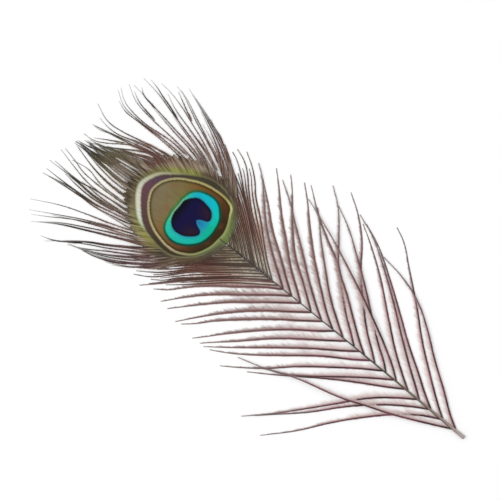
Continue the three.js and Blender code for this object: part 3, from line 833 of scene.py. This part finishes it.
def over_eye(x, y, low, slope):
    """The height of a strand that lies on the eye's sheet and sinks to a low height past its rim."""
    share, edge = rim_share(x, y)
    on_sheet = 1.2 + 0.8 * (1 - min(share, 1) ** 2)
    return low + (on_sheet - low) * math.exp(-max(share - 1, 0) * edge / slope)


for label, side, web in (("right", 1, RIGHT_WEB), ("left", -1, LEFT_WEB)):
    lines = list(web)
    for one, two in zip(web, web[1:]):
        if two[0][1] - one[0][1] < 2:
            continue
        lines.append([((a[0] + b[0]) / 2, (a[1] + b[1]) / 2) for a, b in zip(one, two)])
    strands = []
    for order, ((_, station), *points) in enumerate(lines):
        root = (centre_of_shaft(station) + side * half_width_of_shaft(station) * 0.7, station)
        line = [root, *points]
        last = 1.0 if order < len(web) else 0.85
        while rim_share(*stretch_of(line, 0, last)[-1])[0] < 0.88:
            last -= 0.01
        strand = []
        for x, y, s in measured(stretch_of(line, 0, last)):
            lifted = max(0, 1 - 1.6 * s) * (0.2 if order < len(web) else -0.27)
            low = 0.68 - 0.26 * s + 0.05 * (order % 3) + lifted
            rib = (0.68 - 0.14 * s + lifted) * min(1, 0.35 + 4 * (1 - s))
            strand.append((x, y, over_eye(x, y, low, 3), rib))
        strands.append(strand)
    reaches = (3.0, 1.7) if side > 0 else (1.7, 3.0)
    mesh = grow(
        f"{label} vane", strands, spacing=0.26, reaches=reaches, spread=34, hair=0.28,
        droop=0.35, gap=0.02, tip=0.2, seed=40 + side,
    )
    piece(f"{label}_vane", mesh, web_skin, "web", f"{label}_web")

# ---- crown ----
# Past the eye's rim its barbs come free and run on as a fan of long stiff strands with short barbules.
# They start on top of the sheet, leave it over the rim, and sink to the table towards their tips.

# Each tuft: how wide it spreads, how thick its ribs are, and the line down its middle.
CROWN = [
    (5.4, 0.62, (-23.5, 186.5), (-30, 192.8), (-37, 202), (-43, 210.7), (-48, 219.5), (-52.3, 230),
     (-55.8, 240)),
    (3.4, 0.66, (-24, 193), (-31, 204), (-36.5, 212.5), (-43, 222.5), (-48, 231.5), (-54, 240.5),
     (-62.5, 251.5)),
    (2.6, 0.7, (-23, 199), (-29, 209.5), (-33.5, 218.5), (-38.8, 229.5), (-43, 238), (-50, 251.5),
     (-58.7, 264.3)),
    (2.4, 0.46, (-22.5, 203), (-27, 211.5), (-31, 221), (-35.5, 232), (-40, 242), (-47, 255.5),
     (-54.2, 269)),
    (0.9, 0.42, (-22.2, 206.5), (-25.5, 213), (-28.5, 221), (-31.5, 230), (-36, 244), (-41, 257),
     (-49.2, 272.5)),
    (2.2, 0.66, (-21.5, 211), (-24.3, 220), (-27, 231), (-29.2, 241), (-30, 252), (-31.2, 263),
     (-33.5, 276.2)),
    (2.2, 0.68, (-19.8, 215), (-22.2, 223), (-24.2, 233), (-25.7, 245), (-25.4, 258),
     (-25.6, 277.5)),
    (1.7, 0.42, (-17.6, 217), (-19.8, 225), (-21.2, 234), (-22.4, 244), (-22.2, 254), (-20.2, 264),
     (-17, 276.3)),
    (1.5, 0.42, (-15.5, 219), (-17.3, 227), (-18.2, 237), (-18, 248), (-16, 257.5), (-17.5, 268)),
    (0.8, 0.45, (-13, 221), (-14.3, 229), (-14.8, 238), (-14.4, 249), (-12.8, 259.5), (-9.8, 271)),
    (5.2, 0.66, (-8, 223), (-9.3, 231), (-9.8, 240), (-9.3, 252), (-8.4, 262), (-8, 273.4)),
    (6, 0.8, (-1.5, 223), (-2.2, 231), (-3, 241), (-3.8, 252), (-4.3, 261), (-4.6, 269.5)),
    (7, 0.84, (10, 220), (8.2, 229), (5, 239.5), (1.6, 250), (-0.9, 258.5), (-2.4, 267)),
    (3.6, 0.5, (15.7, 217), (14.7, 228), (13.4, 237), (11.2, 246), (9.2, 254), (7.3, 262),
     (5, 272)),
    (1.9, 0.55, (18.7, 213.5), (18.8, 224), (17.3, 235), (14.6, 247), (12.4, 257), (11.8, 266),
     (15.8, 276.8)),
    (2.2, 0.44, (20.8, 209), (22, 217), (23, 228), (23.2, 241), (22.9, 254), (24, 264.5),
     (29, 273)),
    (1.7, 0.42, (22.3, 205), (25.2, 214), (27, 224), (28, 236), (28.7, 249), (30.6, 261),
     (35.3, 270)),
    (1.3, 0.55, (23, 201), (27, 211.5), (29.3, 221), (31.2, 234), (33.4, 247), (35.3, 258),
     (36.8, 267.5)),
    (1.6, 0.55, (23.2, 197.5), (28.5, 209), (31.8, 219), (35, 231), (38.2, 243), (41.3, 254),
     (43.2, 266)),
    (1.3, 0.4, (23, 194), (29.6, 204), (34.9, 215), (40, 228.5), (44.3, 240.5), (46.4, 249),
     (47.2, 256)),
    (1.4, 0.44, (24.5, 190.5), (32, 203.6), (37.3, 215.3), (42, 226.5), (46.6, 236), (50, 243),
     (51.4, 248.5)),
    (5.6, 0.55, (23.5, 184.8), (31, 193.2), (37, 202), (42.2, 211.3), (46.8, 221.5), (50.9, 232),
     (54.6, 242.3)),
]
# Single strands that stray from their tuft, listed by its number.
STRAYS = {
    1: [((-27, 186), (-33.5, 193), (-39.3, 199.6), (-44.3, 206), (-49, 213.5)),
        ((-29, 189.5), (-34.8, 196.4), (-39.8, 202.8), (-43.5, 208), (-47.5, 214)),
        ((-34, 203), (-42, 216), (-47, 224), (-51.5, 231), (-56, 240)),
        ((-42, 206), (-48, 215), (-50, 220), (-52, 226), (-53, 232), (-55, 240)),
        ((-30, 187), (-36, 194.5), (-41, 201.5), (-46, 209.5), (-50, 217))],
    2: [((-50, 234.5), (-55, 241.5), (-59.5, 249), (-61.5, 255)),
        ((-30, 199), (-36, 206.5), (-41, 214.5), (-45.5, 223))],
    4: [((-31, 222), (-36, 233), (-41, 243), (-45, 250), (-50, 257.5), (-55.5, 266.5))],
    5: [((-24.5, 209), (-26.5, 217), (-28.5, 230), (-29.5, 236))],
    6: [((-28, 238), (-30, 250), (-31.5, 262), (-33, 274)), ((-29, 244), (-30, 262), (-30.3, 276))],
    7: [((-19, 217), (-20.5, 228), (-21.5, 240), (-23, 250), (-24.2, 256), (-24.5, 262),
         (-24, 275)),
        ((-25, 232), (-27, 245), (-27, 256), (-26, 266)),
        ((-22.5, 226), (-23.3, 236), (-23.8, 246), (-23.4, 256))],
    8: [((-18, 226), (-19, 238), (-19.3, 252), (-18.7, 260), (-17, 266), (-15, 275))],
    10: [((-13.8, 228), (-15, 238), (-14.8, 248), (-13.4, 257), (-11.8, 263), (-10, 269.5))],
    11: [((-10, 250), (-9.3, 260), (-8.8, 267), (-9.3, 273)), ((-7.6, 252), (-7.5, 258),
          (-7.2, 266), (-7, 272.5)),
         ((-6, 246), (-6.6, 256), (-7.4, 265), (-8.4, 273))],
    12: [((-4.5, 246), (-5.4, 254), (-6.8, 262), (-7.6, 270)), ((-2, 246), (-3.4, 255), (-3.8, 262),
          (-3.6, 268)),
         ((-1, 250), (-2.6, 257), (-5.4, 264), (-6.8, 271)),
         ((3.4, 231), (1.6, 238), (0.4, 245), (-1, 252), (-3, 259))],
    13: [((14, 231), (12, 238), (5, 250), (0, 258), (-3.5, 266)),
         ((11, 230), (9.3, 237), (5.5, 245.5), (1.5, 253), (-2.4, 261)),
         ((12.6, 228), (11, 235), (7.8, 242), (5, 246.5)),
         ((7, 231), (4.8, 238), (2.4, 246), (0, 253), (-2.4, 259.5)),
         ((9.6, 228.5), (8.2, 235), (5.8, 242))],
    14: [((15.5, 230), (15, 240), (13.5, 246), (10, 256), (9.3, 261), (9.5, 266), (10.5, 271)),
         ((14, 229), (13, 238), (9.7, 249), (8.3, 258), (5.5, 266), (5, 270)),
         ((12, 240), (9, 249), (7, 252), (2, 259), (-1.5, 266), (-2, 272)),
         ((8.5, 251), (3, 261), (0, 266))],
    16: [((24.8, 219), (25.5, 232), (24.5, 242), (24, 248), (24.8, 260), (26.5, 266), (31, 272.5)),
         ((22.7, 240), (22.5, 252), (22.3, 262), (24.5, 268.5))],
    17: [((28.8, 246), (30, 254), (31.5, 260), (34, 265))],
    18: [((34, 250), (36, 260), (38.5, 263.5))],
    19: [((26, 197), (30, 206), (33, 214), (35, 221), (36.6, 228)), ((37, 236), (40, 244),
          (42, 251), (44, 257), (45, 262)),
         ((29, 201), (32.5, 210), (36, 223), (37.5, 229), (40.5, 240), (42.5, 245), (45, 250))],
    20: [((26.5, 193.5), (31, 201), (35.5, 209.5), (38, 216)), ((41.5, 229.5), (43.5, 234),
          (47.5, 242), (49.5, 246))],
    21: [((29.5, 197), (35, 208), (41, 221), (45.5, 231), (49.5, 240), (51, 245)),
         ((26, 188.5), (31, 197), (36, 206), (41, 216.5), (44, 224)),
         ((27.5, 193), (32.5, 201), (36.5, 209), (39, 217))],
    22: [((28, 188), (34, 196), (38, 201), (42, 207), (45, 212), (47, 218), (49, 222))],
}

# Crown strand: matt keratin, olive where it leaves the eye, then red and grey browns, with grey tips.
crown_skin, tree, shader, place = finish("crown barb keratin", 0.6, 0.15)
out = add(tree, "Attribute", attribute_name="out").node.outputs["Fac"]
up_rib = add(tree, "Attribute", attribute_name="along").node.outputs["Fac"]
spot = add(tree, "SeparateXYZ", [place]).node.outputs
turn, away = round_eye(tree, place)
clear = past(tree, turn, away, EYE_OUTLINE)
patches = mottle(tree, place, (0.12, 0.12, 0.12))
wander = add(tree, "Math", [patches, 12.0, clear], operation="MULTIPLY_ADD")
stage = add(tree, "MapRange", [wander, 0.0, 60.0])
sides = add(tree, "ValToRGB", [stage], stops=[
    (0.0, "6E6444"), (0.1, "706048"), (0.19, "7C5E54"), (0.34, "785852"), (0.5, "625048"),
    (0.75, "504844"), (1.0, "4C4846"),
])
middle = add(tree, "ValToRGB", [stage], stops=[
    (0.0, "8A8466"), (0.1, "80785C"), (0.2, "827460"), (0.38, "7E7252"), (0.55, "5E5A36"),
    (0.75, "34341E"), (1.0, "34342A"),
])
top = add(tree, "ValToRGB", [turn], stops=[
    (0.2, "000000"), (0.24, "FFFFFF"), (0.31, "FFFFFF"), (0.35, "000000"),
])
colour = add(tree, "Mix", [top, sides, middle], data_type="RGBA")
flush = add(tree, "ValToRGB", [turn], stops=[
    (0.38, "000000"), (0.44, "FFFFFF"), (0.5, "FFFFFF"), (0.54, "000000"),
])
feeds = [green_share(tree, turn, away), apron(tree, turn), outer_band(tree, turn)]
near = add(tree, "Mix", feeds, data_type="RGBA")
streaks = barb_lanes(tree, spot)
by_rim = add(tree, "MapRange", [clear, 16.0, 4.0, 0.0, 0.75])
warm = add(tree, "MapRange", [spot["Y"], 244.0, 236.0, 0.0, 0.8])
warm = add(tree, "MapRange", [spot["X"], 20.0, 15.0, 0.0, warm])
ink = add(tree, "MapRange", [clear, -1.0, 30.0, 0.2, 0.85])
paling = add(tree, "MapRange", [top, 0.0, 1.0, 0.85, 0.255])
for stretch, over in (
    ([flush, 0.0, 1.0, 0.0, 0.5], "6E4854"),
    ([clear, 5.0, -1.0], near),
    ([streaks, 0.5, 0.64, 0.0, by_rim], "B4A494"),
    ([streaks, 0.49, 0.37, 0.0, by_rim], "2E241E"),
    ([spot["X"], 5.0, 9.0, 0.0, warm], "6E4A42"),
    ([out, 0.1, 1.3, 0.0, 0.6], "AC9288"),
    ([out, 0.3, 0.0, 0.0, ink], "221C1A"),
    ([up_rib, 0.7, 1.0, 0.0, paling], "C4C2C0"),
):
    colour = add(tree, "Mix", [add(tree, "MapRange", stretch), colour, over], data_type="RGBA")
tree.links.new(colour, shader.inputs["Base Color"])


def lay(line, width, swell, start, last):
    """Starts a strand near the eye's rim and gives it its height: over the rim, then down to the table."""
    first = 0.0
    while rim_share(*stretch_of(line, first, 1)[0])[0] < start:
        first += 0.01
    length = sum(math.dist(a, b) for a, b in zip(line, line[1:]))
    path = [stretch_of(line, first, last)[0], *stretch_of(line, first + 3 / length, last)]
    laid = []
    for i, (x, y, s) in enumerate(measured(path)):
        thin = min(1 - 0.25 * s + swell * max(0, 1 - s / 0.27), 0.16 + 2.8 * (1 - s))
        sunk = 0 if i else 0.1
        laid.append((x, y, over_eye(x, y, 0.28, 20) - sunk, width * (thin if i else 0.3)))
    return laid


def beside(line, root_offset, offset):
    """A copy of a line moved sideways: far apart at its root, then drawn together towards its tip."""
    moved = []
    for i, (x, y, s) in enumerate(measured(line)):
        step = Vector(line[min(i + 1, len(line) - 1)]) - Vector(line[max(i - 1, 0)])
        loose = max(0.0, 1 - s / 0.38)
        push = root_offset * loose + offset * (1 - loose) * math.sin(math.pi * (0.3 + 0.7 * s))
        moved.append((x + step.y / step.length * push, y - step.x / step.length * push))
    return moved


def gap_to(tuft, other):
    """How far the next tuft lies to the side of this one, about a fifth of the way along."""
    step = Vector(tuft[4]) - Vector(tuft[2])
    away = Vector(other[3]) - Vector(tuft[3])
    return (away.x * step.y - away.y * step.x) / step.length


for number, tuft in enumerate(CROWN, 1):
    width, rib, *line = tuft
    left = gap_to(tuft, CROWN[number - 2]) / 2 if number > 1 else -width / 2
    right = gap_to(tuft, CROWN[number]) / 2 if number < len(CROWN) else width / 2
    # The wide tufts at the flanks are the densest, then the wedge left of the middle; wisps hold few.
    wedge = number in (11, 12, 13)
    apart = 1.15 if wedge else 0.85 if width > 5 else 1.35 if rib > 0.45 else 2.1
    count = max(1, round((right - left) / apart))
    swell = 1.7 if number > 15 or number < 4 else 0.8
    strands = []
    for k in range(count):
        share = (k + 0.5) / count
        swerve = 0.5 * math.sin(k * 2.4 + number)
        copy = beside(line, left + (right - left) * share, (share - 0.5) * width + swerve)
        flank = min(1, max(0, (30 - rim_share(*line[1])[1]) / 4))
        start = 0.86 + 0.02 * flank + 0.05 * ((k * 7 + number * 3) % 5) / 4
        shortest = 0.8 if wedge else 0.58
        last = shortest + (0.98 - shortest) * ((k * 5 + number * 7) % 11) / 10
        last = 1 if k == count // 2 else last
        strands.append(lay(copy, rib, swell, start, last))
    for stray in STRAYS.get(number, []):
        strands.append(lay(stray, rib, swell, 0.9, 1))
    mesh = grow(
        f"crown tuft {number}", strands, spacing=0.3, reaches=(1.8, 1.8), spread=15, hair=0.28,
        droop=0.1, gap=0.01, tip=0.2, seed=60 + number,
    )
    piece(f"crown_strands_{number:02d}", mesh, crown_skin, "crown_tuft", f"crown_tuft_{number:02d}")

# ---- table, lights and camera ----
# A plain white card under one large soft lamp and a weaker one opposite, with the camera straight above.

bpy.ops.mesh.primitive_plane_add(size=3)
table = bpy.context.object
table.name = "table"
white, tree, shader, place = finish("white card", 0.9, 0.1)
shader.inputs["Base Color"].default_value = (0.93, 0.93, 0.93, 1)
table.data.materials.append(white)

sky = bpy.data.worlds.new("white room")
sky.use_nodes = True
sky.node_tree.nodes["Background"].inputs["Color"].default_value = (1, 1, 1, 1)
sky.node_tree.nodes["Background"].inputs["Strength"].default_value = 0.68
bpy.context.scene.world = sky
for name, place, power in (("key", (-0.5, 0.6, 1.1), 7.4), ("fill", (0.7, -0.5, 1.0), 3.4)):
    lamp = bpy.data.lights.new(name, "AREA")
    lamp.size = 0.9
    lamp.energy = power
    holder = bpy.data.objects.new(name, lamp)
    bpy.context.collection.objects.link(holder)
    holder.location = place
    holder.rotation_euler = (Vector((0, 0, 0)) - Vector(place)).to_track_quat("-Z", "Y").to_euler()

VIEW_WIDTH = 0.28  # metres of the table from one side of the picture to the other
lens = bpy.data.cameras.new("camera")
lens.lens = 100
lens.sensor_width = 36
camera = bpy.data.objects.new("camera", lens)
bpy.context.collection.objects.link(camera)
camera.location = (0.00753, 0.02034, VIEW_WIDTH * lens.lens / lens.sensor_width)
camera.rotation_euler = (0, 0, math.radians(-50.88))
bpy.context.scene.camera = camera
bpy.context.scene.view_settings.view_transform = "Standard"

bpy.context.view_layer.update()
